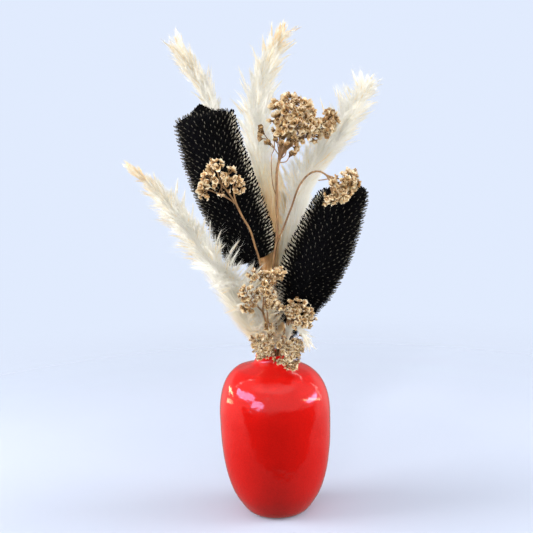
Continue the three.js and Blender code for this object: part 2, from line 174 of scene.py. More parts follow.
# Each spray: its stem's place in the neck, its random seed, the radius of its main stem, a floret's
# size, how golden its florets are, how full its clusters are, the ends of the limbs that its stem
# forks into, how far a cluster spreads, the points of its main stem, its clusters, each as
# (x, y, z, florets), and its thin twigs, each with its points and the number of buds at its end.
SPRAYS = {
    "yarrow_left": {
        "neck": (-4.6, -7.2), "seed": 31, "radius": 1.1, "size": 3.6, "gold": 0.05, "fullness": 0.85,
        "limbs": [(-49, -50, 337), (-43, -51, 345), (-32, -50, 341)],
        "stem": [(-4, -20, 206), (-10, -33, 267), (-14, -38, 283), (-18, -42, 299), (-25, -45, 313),
                 (-31, -47, 327)],
        "clusters": [(-48, -52, 362, 9), (-56, -52, 350, 8), (-60, -52, 340, 8), (-47, -55, 348, 7),
                     (-35, -54, 355, 7), (-31, -53, 348, 8), (-27, -51, 342, 6), (-43, -53, 339, 3)],
    },
    "yarrow_top": {
        "neck": (0.5, -6.2), "seed": 37, "radius": 1.6, "size": 4.7, "gold": 0.10, "fullness": 1.3,
        "stem": [(2, -9, 223), (4, -15, 263), (8, -17, 295), (9, -15, 329), (10, -11, 353),
                 (15, -8, 370)],
        "clusters": [(14, -3, 413, 9), (25, 0, 419, 9), (36, -1, 414, 9), (43, -3, 405, 8),
                     (13, -9, 402, 9), (24, -10, 410, 8), (33, -11, 405, 9), (21, -11, 397, 9),
                     (31, -13, 396, 8), (15, -8, 391, 8), (41, -11, 396, 8), (38, -11, 387, 7),
                     (24, -9, 386, 7), (47, -5, 386, 8), (55, -3, 393, 7), (63, 0, 403, 8),
                     (62, -2, 392, 8), (27, -5, 377, 5)],
        "twigs": [([(9, -15, 326), (5.5, -14, 338), (4.6, -13, 350), (4.7, -12, 364),
                    (5.5, -12, 369), (8, -12, 374), (4, -11, 380), (-2, -11, 389)], 3),
                  ([(2, -11, 383), (-3, -12, 384)], 2), ([(13, -9, 366), (8, -12, 374)], 0),
                  ([(8, -12, 374), (4.5, -13, 377)], 2), ([(8, -12, 374), (9, -9, 388)], 0),
                  ([(13, -9, 362), (12, -12, 372), (11, -12, 379)], 3),
                  ([(13, -9, 362), (16, -12, 370), (17, -12, 381)], 3),
                  ([(14, -9, 366), (20, -12, 372), (23, -12, 382)], 3),
                  ([(13, -9, 360), (19, -12, 361), (22, -12, 365)], 2),
                  ([(13, -9, 360), (13.5, -13, 368), (14, -13, 374)], 2),
                  ([(14, -9, 364), (18, -13, 367), (20, -13, 373)], 2)],
    },
    "yarrow_right": {
        "neck": (3.6, -8.6), "seed": 41, "radius": 1.0, "size": 3.8, "gold": 0.08, "fullness": 1.1,
        "limbs": [(60, -52, 337), (66, -53, 342), (70, -52, 346)],
        "stem": [(4, -14, 224), (3, -20, 264), (7, -22, 281), (14, -27, 298), (22, -33, 318),
                 (31, -40, 341), (41, -45, 352), (50, -49, 353.5), (57, -51, 349)],
        "clusters": [(58, -52, 328, 6), (63, -53, 331, 7), (62, -52, 337, 6), (68, -54, 332, 6),
                     (70, -54, 339, 8), (75, -53, 336, 6), (76, -52, 345, 7), (69, -53, 346, 5),
                     (80, -51, 342, 5), (79, -50, 349, 5)],
        "twigs": [([(60, -49, 347), (54.4, -47, 345.6), (48, -47, 345)], 0)],
    },
    "yarrow_low_centre": {
        "neck": (-2, -10.2), "seed": 43, "radius": 1.2, "size": 3.4, "gold": 0.09, "fullness": 1.05,
        "limbs": [(-21, -53, 232), (-4, -52, 233), (-5, -49, 247)], "spread": 0.66,
        "stem": [(-4, -22, 191), (-6, -32, 206), (-9, -40, 220)],
        "clusters": [(-17, -50, 256, 6), (-8, -52, 257, 6), (1, -52, 256, 7), (9, -51, 257, 7),
                     (-4, -55, 247, 7), (-10, -54, 240, 5), (-2, -56, 240, 7), (1, -56, 232, 7),
                     (5, -54, 228, 5), (-4, -55, 228, 5), (-25, -56, 244, 6), (-28, -57, 238, 6),
                     (-18, -56, 232, 5), (-15, -54, 238, 4), (-25, -58, 227, 6), (-20, -57, 227, 4),
                     (-4, -42, 205, 5)],
    },
    "yarrow_low_right": {
        "neck": (6.3, -9.9), "seed": 47, "radius": 1.2, "size": 3.7, "gold": 0.06, "fullness": 0.95,
        "spread": 0.66, "stem": [(10, -24, 190), (16, -36, 206)],
        "clusters": [(20, -47, 226, 5), (27, -46, 227, 6), (16, -46, 219, 4), (23, -47, 219, 4),
                     (30, -47, 220, 5), (36, -46, 216, 6), (38, -45, 209, 5), (30, -49, 211, 5),
                     (25, -49, 207, 5), (11, -46, 222, 3)],
    },
    "yarrow_neck_left": {
        "neck": (-6.8, -9.8), "seed": 53, "radius": 1.1, "size": 3.0, "gold": 0.03, "fullness": 1.0,
        "spread": 0.52, "stem": [(-10, -22, 179), (-11, -31, 184)],
        "clusters": [(-18, -38, 190, 6), (-13, -39, 192, 6), (-8, -39, 190, 6), (-3, -38, 195, 5),
                     (-16, -40, 183, 6), (-10, -41, 183, 6), (-4, -40, 186, 6), (-1, -38, 186, 3),
                     (-14, -41, 175, 6), (-8, -42, 176, 6), (-6, -41, 180, 4), (-2, -40, 178, 2)],
    },
    "yarrow_neck_right": {
        "neck": (9.2, -7.2), "seed": 59, "radius": 1.1, "size": 3.1, "gold": 0.03, "fullness": 1.0,
        "spread": 0.52, "stem": [(12, -20, 178), (14, -30, 180)],
        "clusters": [(10, -37, 188, 5), (7, -38, 184, 4), (13, -38, 185, 5), (17, -39, 182, 6),
                     (22, -37, 187, 5), (26, -36, 182, 5), (27, -37, 177, 4), (22, -39, 182, 5),
                     (12, -40, 177, 5), (16, -41, 175, 5), (21, -39, 176, 6), (21, -40, 170, 6),
                     (6, -40, 170, 3), (10, -41, 169, 5), (15, -41, 168, 5), (14, -42, 164, 4),
                     (19, -42, 163, 5), (26, -36, 192, 2)],
    },
}
LOCKS_PER_WISP = 24
LOCK_WIDTH, LOCK_FLARE = 4.8, 2.2  # off the middle of their wisp, and more at their ends
HAIRS_PER_LOCK = 4  # the first of them is a broad flat one
FUZZ_PER_WISP = 36
AXIS_HAIRS_PER_WISP = 45
HAIR_SCALE = {"pampas": 1.0, "tuft": 0.35}  # a tuft's hairs are finer
HAIR_REACH = 1.12  # the fine hairs stand this much further out than the part's coarse ones
TWIG_RADIUS = 0.6
CLUSTER_RADIUS = 4.6
CLUSTER_SEAT = 3.2  # how far behind a cluster's middle its branch ends
MIDDLE_TILT, DOME_TILT = 14, 78  # degrees: of a cluster's first floret, and from there to its rim
BRANCH_RADIUS = 0.7
PEDICEL_RADIUS = 0.28
PETAL_ROWS, PETAL_COLUMNS = 4, 4
BUD_CLOSED = 1.3  # how much further up a bud's petals stand than those of an open floret
BRANCH_STRETCH = 14.0  # the branches leave the main stem over its last stretch
GOLDEN_ANGLE = 2.39996  # radians, from one wisp or floret to the next
HAIR_STEPS = np.linspace(0, 1, 3)  # the stations of a hair, from its root to its end

# ---------------------------------------------------------------- vectors and curves


def unit(vectors):
    """Vectors scaled to length 1."""
    vectors = np.asarray(vectors, float)
    return vectors / np.maximum(np.linalg.norm(vectors, axis=-1, keepdims=True), 1e-9)


def along(stops, t):
    """Values read off evenly spaced stops, t from 0 to 1."""
    return np.interp(np.clip(t, 0, 1), np.linspace(0, 1, len(stops)), stops)


def over(values, start, width):
    """How far values have come from a start, from 0 to 1 over a width."""
    return np.clip((values - start) / width, 0, 1)


def turns(sides):
    """Even angles once round."""
    return np.arange(sides) * 2 * np.pi / sides


def smooth_curve(padded, steps, slopes):
    """A curve through all but the first and the last of some points. slopes works out how it runs
    at the two middle ones of any four in a row."""
    t = np.linspace(0, 1, steps, endpoint=False)[:, None]
    runs = []
    for a, b, c, d in zip(padded, padded[1:], padded[2:], padded[3:]):
        start, end = slopes(a, b, c, d)
        runs.append(b + start * t + (3 * (c - b) - 2 * start - end) * t**2
                    + (2 * (b - c) + start + end) * t**3)
    return np.vstack(runs + [padded[-2:-1]])


def plain_slopes(a, b, c, d):
    return (c - a) / 2, (d - b) / 2


def centripetal_slopes(a, b, c, d):
    ab, bc, cd = (math.sqrt(np.linalg.norm(v)) for v in (b - a, c - b, d - c))
    return (((b - a) / ab - (c - a) / (ab + bc) + (c - b) / bc) * bc,
            ((c - b) / bc - (d - b) / (bc + cd) + (d - c) / cd) * bc)


def spline(points, steps):
    """A plain Catmull-Rom curve through points, with its end tangents halved."""
    points = np.asarray(points, float)
    return smooth_curve(np.vstack([points[:1], points, points[-1:]]), steps, plain_slopes)


def centripetal(points, steps):
    """A centripetal Catmull-Rom curve through points, which the part's stems follow."""
    points = np.asarray(points, float)
    first = 2 * points[:1] - points[1:2]
    last = 2 * points[-1:] - points[-2:-1]
    return smooth_curve(np.vstack([first, points, last]), steps, centripetal_slopes)


def bezier(a, b, c, steps):
    t = np.linspace(0, 1, steps)[:, None]
    return (1 - t) ** 2 * a + 2 * t * (1 - t) * b + t**2 * c


class Path:
    """A line through space, walked from 0 at its start to 1 at its end, with a frame that turns
    with it without twisting."""

    def __init__(self, points):
        self.points = np.asarray(points, float)
        pieces = np.linalg.norm(np.diff(self.points, axis=0), axis=1)
        self.walked = np.concatenate([[0], np.cumsum(pieces)])
        self.length = self.walked[-1]
        self.walked /= self.length
        self.forwards = unit(np.gradient(self.points, self.walked, axis=0))
        side = np.array([0.0, 1.0, 0.0])
        sides = []
        for forward in self.forwards:
            side = unit(side - forward * side.dot(forward))
            sides.append(side)
        self.sides = np.array(sides)

    def read(self, values, t):
        return np.stack([np.interp(t, self.walked, values[:, k]) for k in range(3)], axis=-1)

    def at(self, t):
        return self.read(self.points, t)

    def forward(self, t):
        return unit(self.read(self.forwards, t))

    def outward(self, t, angle):
        """The direction square to the path at an angle round it."""
        forward, side = self.forward(t), self.read(self.sides, t)
        side = unit(side - forward * np.sum(side * forward, axis=-1, keepdims=True))
        across = np.cross(forward, side)
        return side * np.cos(angle)[..., None] + across * np.sin(angle)[..., None]

    def place_at_height(self, height):
        return self.walked[np.argmax(self.points[:, 2] >= height)]


def stem_path(neck, points):
    """The line of a stem from the inside floor of the vase, through the neck, to its head."""
    x, y = neck
    start = [(x * STEM_SPREAD, y * STEM_SPREAD, STEM_FOOT_Z), (x, y, VASE_HEIGHT - 15),
             (x, y, VASE_HEIGHT)]
    return Path(centripetal(start + list(points), 24))


# ---------------------------------------------------------------- meshes


class Shape:
    """Points and faces that are gathered up and made into one piece. Each point has a tone, from
    0 to 1, which the piece's material turns into colour."""

    def __init__(self):
        self.points, self.tones, self.faces, self.kinds = [], [], [], []
        self.count = 0

    def add(self, points, faces, tones=0.0, kind=0):
        points = np.asarray(points, float).reshape(-1, 3)
        self.points.append(points)
        self.tones.append(np.broadcast_to(np.clip(tones, 0, 1).ravel(), (len(points),)))
        for polygons in faces:
            self.faces.append(np.asarray(polygons, int) + self.count)
            self.kinds.append(np.full(len(polygons), kind))
        self.count += len(points)

    def make(self, name, materials):
        points = np.vstack(self.points) * MM
        corners = np.concatenate([f.ravel() for f in self.faces])
        sizes = np.concatenate([np.full(len(f), f.shape[1]) for f in self.faces])
        mesh = bpy.data.meshes.new(name)
        mesh.vertices.add(len(points))
        mesh.vertices.foreach_set("co", points.ravel())
        mesh.loops.add(len(corners))
        mesh.loops.foreach_set("vertex_index", corners.astype(np.int32))
        mesh.polygons.add(len(sizes))
        mesh.polygons.foreach_set("loop_start", (np.cumsum(sizes) - sizes).astype(np.int32))
        mesh.update(calc_edges=True)
        mesh.polygons.foreach_set("use_smooth", np.full(len(sizes), True))
        mesh.polygons.foreach_set("material_index", np.concatenate(self.kinds).astype(np.int32))
        tone = mesh.attributes.new("tone", "FLOAT", "POINT")
        tone.data.foreach_set("value", np.concatenate(self.tones).astype(np.float32))
        for material in materials:
            mesh.materials.append(material)
        mesh.validate()
        piece = bpy.data.objects.new(name, mesh)
        bpy.context.scene.collection.objects.link(piece)
        return piece


def make_piece(shape, name, node, materials):
    """The piece that stands for a CAD node."""
    piece = shape.make(name, materials)
    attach(piece, "root")
    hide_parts(node)


def ring_faces(rings, sides):
    """The quads between rings of points, each ring closed on itself."""
    row, column = np.meshgrid(np.arange(rings - 1), np.arange(sides), indexing="ij")
    following = (column + 1) % sides
    a, b = row * sides + column, row * sides + following
    return np.stack([a, b, b + sides, a + sides], axis=-1).reshape(-1, 4)


def add_capped(shape, rings, ends, tones=0.0, kind=0):
    """A skin over rings of points, (ring, side, xyz), that closes on a point at each end."""
    count, sides = rings.shape[:2]
    first, top = count * sides, (count - 1) * sides
    k = np.arange(sides)
    following = (k + 1) % sides
    caps = np.vstack([np.stack([np.full(sides, first), following, k], axis=-1),
                      np.stack([np.full(sides, first + 1), top + k, top + following], axis=-1)])
    shape.add(np.vstack([rings.reshape(-1, 3), ends]), [ring_faces(count, sides), caps], tones, kind)


def add_tube(shape, path, radius, sides, steps, tone=0.0, kind=0):
    """A round rod along a path. radius and tone may each be stops along it."""
    t = np.linspace(0, 1, steps)
    radii, tones = along(np.atleast_1d(radius), t), along(np.atleast_1d(tone), t)
    angles = np.broadcast_to(turns(sides), (steps, sides))
    out = path.outward(t[:, None].repeat(sides, 1), angles)
    rings = path.at(t)[:, None] + radii[:, None, None] * out
    tones = np.concatenate([np.repeat(tones, sides), tones[[0, -1]]])
    add_capped(shape, rings, path.at(t[[0, -1]]), tones, kind)


def add_copies(shape, points, quads, tips, tones):
    """The same faces over many sets of points, (copy, point, xyz)."""
    starts = (np.arange(len(points)) * points.shape[1])[:, None, None]
    faces = [(quads[None] + starts).reshape(-1, 4), (tips[None] + starts).reshape(-1, 3)]
    shape.add(points.reshape(-1, 3), faces, tones.ravel())


def add_ribbons(shape, spines, half_width, rng, tones):
    """Thin tapered blades, each turned its own way. spines is (blade, station, xyz), and the last
    station is the point."""
    count, stations = spines.shape[:2]
    turn = rng.normal(0, 1, (count, 3))
    across = unit(np.cross(spines[:, 1:] - spines[:, :-1], turn[:, None, :]))
    taper = np.linspace(1, 0.45, stations - 1)[None, :, None]
    offset = across * taper * np.asarray(half_width).reshape(-1, 1, 1)
    pairs = np.stack([spines[:, :-1] - offset, spines[:, :-1] + offset], axis=2)
    points = np.concatenate([pairs.reshape(count, -1, 3), spines[:, -1:]], axis=1)
    quads = np.array([[2 * k, 2 * k + 1, 2 * k + 3, 2 * k + 2] for k in range(stations - 2)])
    tip = 2 * (stations - 2)
    tones = np.concatenate([np.repeat(tones[:, :-1], 2, axis=1), tones[:, -1:]], axis=1)
    add_copies(shape, points, quads, np.array([[tip, tip + 1, tip + 2]]), tones)


def add_rods(shape, spines, radii, side, tones, sides):
    """Many short round rods at once. spines is (rod, station, xyz), radii is (rod, station), and
    side is square to each rod's root."""
    count, stations = spines.shape[:2]
    forward = unit(np.gradient(spines, axis=1))
    first = unit(np.cross(forward, side[:, None, :]))
    second = np.cross(forward, first)
    angles = turns(sides)[:, None]
    circles = first[:, :, None] * np.cos(angles) + second[:, :, None] * np.sin(angles)
    rings = spines[:, :, None] + radii[:, :, None, None] * circles
    points = np.concatenate([rings.reshape(count, -1, 3), spines[:, -1:]], axis=1)
    k = np.arange(sides)
    top = (stations - 1) * sides
    caps = np.stack([top + k, top + (k + 1) % sides, np.full(sides, stations * sides)], axis=-1)
    tones = np.concatenate([np.repeat(tones, sides, axis=1), tones[:, -1:]], axis=1)
    add_copies(shape, points, ring_faces(stations, sides), caps, tones)


def grow(roots, directions, lengths):
    """Straight hairs from their roots, (hair, station, xyz)."""
    return roots[:, None] + directions[:, None] * (lengths[:, None] * HAIR_STEPS)[..., None]


# ---------------------------------------------------------------- materials


def srgb(red, green, blue):
    """A colour given as it looks on a screen, as the linear colour that a shader takes."""
    def linear(value):
        return value / 12.92 if value <= 0.04045 else ((value + 0.055) / 1.055) ** 2.4
    return (linear(red), linear(green), linear(blue), 1.0)


def grey(value):
    return (value, value, value, 1.0)


NONE, FULL = grey(0.0), grey(1.0)  # how much of a pattern shows


class Nodes:
    """A material's nodes, or a world's, made and joined in short calls."""

    def __init__(self, name, world=False):
        self.owner = (bpy.data.worlds if world else bpy.data.materials).new(name)
        self.owner.use_nodes = True
        self.tree = self.owner.node_tree
        self.tree.nodes.clear()
        self.place = self.add("ShaderNodeTexCoord").outputs["Generated" if world else "Object"]

    def add(self, kind, **values):
        node = self.tree.nodes.new(kind)
        for name, value in values.items():
            setattr(node, name, value)
        return node

    def join(self, source, target):
        self.tree.links.new(source, target)

    def fill(self, socket, value):
        """Gives a socket a constant, or joins another node's output to it."""
        if isinstance(value, (int, float, tuple)):
            socket.default_value = value
        else:
            self.join(value, socket)

    def tone(self):
        return self.add("ShaderNodeAttribute", attribute_name="tone").outputs["Fac"]

    def noise(self, scale, detail=3.0, stretch=(1, 1, 1)):
        node = self.add("ShaderNodeTexNoise")
        node.inputs["Scale"].default_value = scale
        node.inputs["Detail"].default_value = detail
        mapping = self.add("ShaderNodeMapping")
        mapping.inputs["Scale"].default_value = stretch
        self.join(self.place, mapping.inputs["Vector"])
        self.join(mapping.outputs["Vector"], node.inputs["Vector"])
        return node.outputs["Fac"]

    def ramp(self, source, stops):
        node = self.add("ShaderNodeValToRGB")
        elements = node.color_ramp.elements
        while len(elements) < len(stops):
            elements.new(0.5)
        for element, (position, colour) in zip(elements, stops):
            element.position = position
            element.color = colour
        self.join(source, node.inputs["Fac"])
        return node.outputs["Color"]

    def math(self, operation, first, second=0.5):
        node = self.add("ShaderNodeMath", operation=operation)
        for socket, value in zip(node.inputs, (first, second)):
            self.fill(socket, value)
        return node.outputs["Value"]

    def times(self, first, second):
        return self.math("MULTIPLY", first, second)

    def mix(self, factor, first, second, blend="MIX"):
        node = self.add("ShaderNodeMix", data_type="RGBA", blend_type=blend)
        for name, value in (("Factor", factor), ("A", first), ("B", second)):
            socket = next(s for s in node.inputs
                          if s.name == name and s.type == ("VALUE" if name == "Factor" else "RGBA"))
            self.fill(socket, value)
        return next(s for s in node.outputs if s.type == "RGBA")

    def range(self, source, low, high, start=0.0, end=1.0, easing="LINEAR"):
        """A value that goes from low to high while the source goes from start to end."""
        node = self.add("ShaderNodeMapRange", interpolation_type=easing)
        for name, value in (("From Min", start), ("From Max", end), ("To Min", low), ("To Max", high)):
            node.inputs[name].default_value = value
        self.join(source, node.inputs["Value"])
        return node.outputs["Result"]

    def fade(self, source, low, high, start, end):
        return self.range(source, low, high, start, end, "SMOOTHSTEP")

    def bump(self, height, strength, distance):
        node = self.add("ShaderNodeBump")
        node.inputs["Strength"].default_value = strength
        node.inputs["Distance"].default_value = distance
        self.join(height, node.inputs["Height"])
        return node.outputs["Normal"]

    def principled(self, colour, **values):
        node = self.add("ShaderNodeBsdfPrincipled")
        self.join(colour, node.inputs["Base Color"])
        for name, value in values.items():
            self.fill(node.inputs[name.replace("_", " ")], value)
        return node.outputs["BSDF"]

    def mix_shader(self, factor, first, second):
        node = self.add("ShaderNodeMixShader")
        for socket, value in zip(node.inputs, (factor, first, second)):
            self.fill(socket, value)
        return node.outputs["Shader"]

    def output(self, shader, kind="ShaderNodeOutputMaterial"):
        self.join(shader, self.add(kind).inputs["Surface"])
        return self.owner


def glaze_material():
    """Bright red glossy glaze, a little uneven in depth and surface."""
    n = Nodes("red_glaze")
    cloud = n.noise(14, 3)
    colour = n.ramp(cloud, [(0.3, (0.545, 0.006, 0.004, 1)), (0.7, (0.615, 0.008, 0.006, 1))])
    speck = n.ramp(n.noise(900, 2), [(0.73, NONE), (0.78, FULL)])
    colour = n.mix(speck, colour, (0.40, 0.008, 0.006, 1))
    mottle = n.ramp(n.noise(700, 3), [(0.3, grey(0.84)), (0.7, FULL)])
    colour = n.mix(1.0, colour, mottle, "MULTIPLY")
    slow, ripple, grain = n.noise(22, 2), n.noise(75, 2), n.noise(300, 2)
    waves = n.math("ADD", slow, n.times(ripple, 0.32))
    waves = n.math("ADD", waves, n.times(grain, 0.08))
    rough = n.range(n.noise(120, 3), 0.05, 0.11)
    shader = n.principled(colour, Roughness=rough, Specular_IOR_Level=0.36,
                          Normal=n.bump(waves, 0.6, 0.002))
    return n.output(shader)


def clay_material():
    """The bare fired clay of the foot ring."""
    n = Nodes("bare_clay")
    colour = n.ramp(n.noise(300, 4), [(0.3, srgb(0.72, 0.62, 0.54)), (0.7, srgb(0.83, 0.75, 0.67))])
    shader = n.principled(colour, Roughness=0.85, Normal=n.bump(n.noise(900, 3), 0.4, 0.0004))
    return n.output(shader)


def banksia_material():
    """Black-dyed cone and styles. The tone is the styles' weathered pale ends, with a painted highlight
    on those that face the middle of the arrangement.
    """
    n = Nodes("banksia_black")
    colour = n.ramp(n.tone(), [
        (0.0, (0.0020, 0.0022, 0.0026, 1)), (0.30, grey(0.004)),
        (0.52, srgb(0.52, 0.50, 0.45)), (1.0, srgb(1.0, 0.97, 0.88)),
    ])
    mottle = n.ramp(n.noise(800, 3), [(0.3, grey(0.35)), (0.7, FULL)])
    colour = n.mix(0.3, colour, mottle, "MULTIPLY")
    shader = n.principled(colour, Roughness=0.8, Specular_IOR_Level=0.05,
                          Normal=n.bump(n.noise(1500, 3), 0.3, 0.0003))
    return n.output(shader)


def pampas_material():
    """Silky cream plume hair. The tone runs from cream white to tan."""
    n = Nodes("pampas_cream")
    colour = n.ramp(n.tone(), [
        (0.0, srgb(1.0, 1.0, 0.99)), (0.3, srgb(0.97, 0.96, 0.92)),
        (0.65, srgb(0.98, 0.90, 0.73)), (1.0, srgb(0.95, 0.80, 0.56)),
    ])
    shade = n.ramp(n.noise(90, 3), [(0.25, (0.95, 0.95, 0.94, 1)), (0.7, FULL)])
    colour = n.mix(0.8, colour, shade, "MULTIPLY")
    hair = n.principled(colour, Roughness=0.6, Specular_IOR_Level=0.25, Sheen_Weight=0.25,
                        Sheen_Roughness=0.4)
    through = n.add("ShaderNodeBsdfTranslucent")
    n.join(colour, through.inputs["Color"])
    return n.output(n.mix_shader(0.3, hair, through.outputs["BSDF"]))


def petal_material():
    """Dry papery florets: cream petals that turn tan and then dark brown towards their middle and cup,
    partly their own colour and partly painted shade deep in the floret.
    """
    n = Nodes("yarrow_petal")
    colour = n.ramp(n.tone(), [
        (0.0, srgb(1.0, 0.99, 0.94)), (0.25, srgb(0.90, 0.82, 0.66)),
        (0.55, srgb(0.72, 0.56, 0.36)), (1.0, srgb(0.26, 0.17, 0.09)),
    ])
    mottle = n.ramp(n.noise(420, 4), [(0.3, srgb(0.93, 0.86, 0.74)), (0.65, FULL)])
    colour = n.mix(0.8, colour, mottle, "MULTIPLY")
    shader = n.principled(colour, Roughness=0.7, Specular_IOR_Level=0.25,
                          Normal=n.bump(n.noise(1400, 3), 0.35, 0.0003))
    return n.output(shader)


def twig_material():
    """Dry brown stems with fine lengthwise streaks."""
    n = Nodes("dry_stem")
    streak = n.noise(500, 3, stretch=(1, 1, 0.12))
    colour = n.ramp(streak, [
        (0.3, srgb(0.42, 0.31, 0.20)), (0.55, srgb(0.60, 0.46, 0.31)), (0.75, srgb(0.73, 0.59, 0.42)),
    ])
    shader = n.principled(colour, Roughness=0.65, Specular_IOR_Level=0.3,
                          Normal=n.bump(streak, 0.5, 0.0005))
    return n.output(shader)


# ---------------------------------------------------------------- the vase


def add_lathe(shape, profile, segments):
    """A profile of (radius, height) turned about Z. It starts and ends on the axis."""
    profile = np.asarray(profile, float)
    radii, heights = profile[1:-1, :1], profile[1:-1, 1:]
    angles = turns(segments)
    rings = np.stack([radii * np.cos(angles), radii * np.sin(angles), heights + 0 * angles], axis=-1)
    add_capped(shape, rings, [(0, 0, profile[0, 1]), (0, 0, profile[-1, 1])])


def make_vase():
    recess = [(0, FOOT_RECESS), (FOOT_RING[0] - 1, FOOT_RECESS), (FOOT_RING[0], 0.2),
              (FOOT_RING[0] + 0.8, 0)]
    lip = [((NECK_INNER + VASE_OUTSIDE[-1][0]) / 2 + reach, VASE_HEIGHT - drop)
           for reach, drop in ((1.3, 0.35), (0.7, 0.08), (0, 0), (-0.7, 0.08), (-1.2, 0.35))]
    outside, inside = spline(VASE_OUTSIDE, 10), spline(VASE_INSIDE, 6)
    shape = Shape()
    add_lathe(shape, np.vstack([recess, outside, lip, inside, [(0, VASE_FLOOR)]]), VASE_SEGMENTS)
    points = shape.points[0]
    lifted = np.interp(points[:, 2], SHOULDER_ZONE, [0, 1, 1, 0])
    points[:, 2] += SHOULDER_LIFT * lifted * np.clip(-points[:, 0] / SHOULDER_FULL, 0, 1)
    bare = (points[:, 2] < CLAY_HEIGHT) & (np.hypot(points[:, 0], points[:, 1]) < FOOT_RING[1] + 2)
    shape.kinds = [np.where(bare[faces].all(axis=1), 1, 0) for faces in shape.faces]
    make_piece(shape, "vase_glazed", "vase", [glaze_material(), clay_material()])


# ---------------------------------------------------------------- banksia heads


class Head:
    """The core of a banksia head. A place on it is t, from 0 at its base to 1 at its top, and an
    angle round it."""

    def __init__(self, base, top, radii, trim, slant, sway, crown):
        self.radii, self.slant, self.sway, self.crown = radii, slant, sway, crown
        self.foot, top = np.array(base, float), np.array(top, float)
        self.line = unit(top - self.foot)
        self.base = self.foot + self.line * trim
        self.axis = Path(self.base + (top - self.base) * np.linspace(0, 1, 50)[:, None])
        self.length = self.axis.length - CROWN_STYLE
        self.forward = self.axis.forward(0.5)
        self.inward = -np.sign(self.base[0] + top[0])  # towards the middle of the arrangement
        self.fine = np.linspace(0, 1, 900)
        rise, spread = np.diff(self.fine) * self.length, np.diff(self.radius(self.fine))
        self.run = np.concatenate([[0], np.cumsum(np.hypot(rise, spread))])

    def radius(self, t):
        """The distance of the core's skin from the axis."""
        flank = along(self.radii, t) - STYLE_LENGTH
        below_tip, width = zip(*self.crown)
        return np.minimum(flank, np.interp(self.below_tip(t), below_tip, width, right=np.inf))

    def after(self, run):
        """t after a run over the skin from the base."""
        return np.interp(run, self.run, self.fine)

    def skin(self, t, angle, lift=0.0):
        """A point over the core's skin, and the skin's outward direction there."""
        radius = self.radius(t)
        near = 0.005
        rise = self.radius(t + near) - self.radius(t - near)
        out = self.axis.outward(np.full(np.shape(angle), 0.5), angle)
        normal = unit(out * 2 * near * self.length - self.forward * rise[..., None])
        slide = -self.slant * radius * out[..., 0] * over(t, 0.8, 0.15)
        place = self.base + self.forward * (t * self.length + slide)[..., None] + out * radius[..., None]
        place[..., 0] += along(self.sway, t)
        return place + normal * lift, normal

    def below_tip(self, t):
        return (1 - t) * self.length


def add_core(shape, head, rng):
    """The black core, knobbly with the bases of the styles."""
    t = head.after(np.linspace(0, head.run[-1] * 0.995, CORE_RINGS))
    t, angle = np.meshgrid(t, turns(CORE_SIDES), indexing="ij")
    points, normal = head.skin(t, angle)
    knobs = KNOB_HEIGHT * np.sin(angle * KNOBS_ROUND) * np.sin(t * head.length * KNOBS_ALONG)
    knobs = knobs + rng.normal(0, 0.25, t.shape)
    ends = np.stack([head.base - head.forward * 1.5, head.base + head.forward * (head.length + 1.5)])
    ends[:, 0] += (head.sway[0], head.sway[-1])
    add_capped(shape, points + normal * knobs[..., None], ends)


def style_sites(head, rng):
    """Where styles may stand: t, the angle, and 1 for a fresh one. The weathered ones stand in
    staggered rings, and the fresh ones between the rings."""
    sites_t, sites_angle = [], []
    for row, place in enumerate(head.after(np.arange(1.5, head.run[-1] - 2, RING_STEP))):
        number = max(5, round(2 * np.pi * (head.radius(place) + STYLE_LENGTH * 0.6) / STYLE_STEP))
        turn = (row % 2) / 2 + rng.uniform(-0.05, 0.05)
        sites_angle.append((np.arange(number) + turn) * 2 * np.pi / number)
        sites_t.append(np.full(number, place))
    t, angle = np.concatenate(sites_t), np.concatenate(sites_angle)
    number = len(t)
    t = t + rng.normal(0, 0.4, number) / head.length
    angle = angle + rng.normal(0, 0.022, number)
    t = np.clip(np.concatenate([t, t + RING_STEP / 2 / head.length]), 0, 0.995)
    angle = np.concatenate([angle, angle + rng.normal(0, 0.03, number)])
    return t, angle, np.repeat([0.0, 1.0], number)


def add_styles(shape, head, pale, rng):
    """Styles that stand out of the core and bow over at their pale ends. Those that face the middle
    of the arrangement are palest, their ends painted with a highlight that is brightest at the bend,
    with fresh black ones between them, and those that face away are greyest."""
    t, angle, fresh = style_sites(head, rng)
    root, normal = head.skin(t, angle, -0.4)
    aim = normal[:, 0] * head.inward
    kept = (fresh == 0) | (aim > 0.6)
    t, fresh, root, normal, aim = (values[kept] for values in (t, fresh, root, normal, aim))
    number = len(t)
    tangent = unit(head.forward - normal * (normal @ head.forward)[:, None])
    side = np.cross(normal, tangent)
    inner, outer = over(aim, 0.7, 0.17), over(-aim, 0.65, 0.2)
    bend = np.linspace(0, 1, len(STYLE_OUT))
    grown = np.interp(head.below_tip(t), CROWN_ZONE, [CROWN_STYLE / STYLE_LENGTH, 1])
    reach = (STYLE_LENGTH * grown * (1 + 0.3 * fresh) * rng.uniform(0.88, 1.08, number))[:, None]
    droop = 1 + rng.uniform(-0.35, 0.35, number)[:, None] * (bend > 0.6)
    swing = rng.normal(0, 0.65, number)[:, None] * bend**1.5
    spines = (root[:, None] + normal[:, None] * (reach * STYLE_OUT)[..., None]
              + tangent[:, None] * (reach * STYLE_UP * droop)[..., None]
              + side[:, None] * swing[..., None])
    stout = (0.85 + 0.50 * inner + 0.30 * outer) * rng.uniform(0.85, 1.15, number)
    plain = PLAIN_TONES * pale
    # the styles that face the middle blend to the palest tones, which are partly a painted highlight
    tones = (plain + inner[:, None] * (PALE_ENDS_AND_HIGHLIGHT_TONES - plain)
             + outer[:, None] * (GREYEST_TONES - plain))
    tones = tones * ((1 - 0.85 * fresh) * rng.uniform(0.86, 1.08, number) * grown**0.3)[:, None]
    add_rods(shape, spines, STYLE_RADIUS * stout[:, None], side, tones, sides=5)


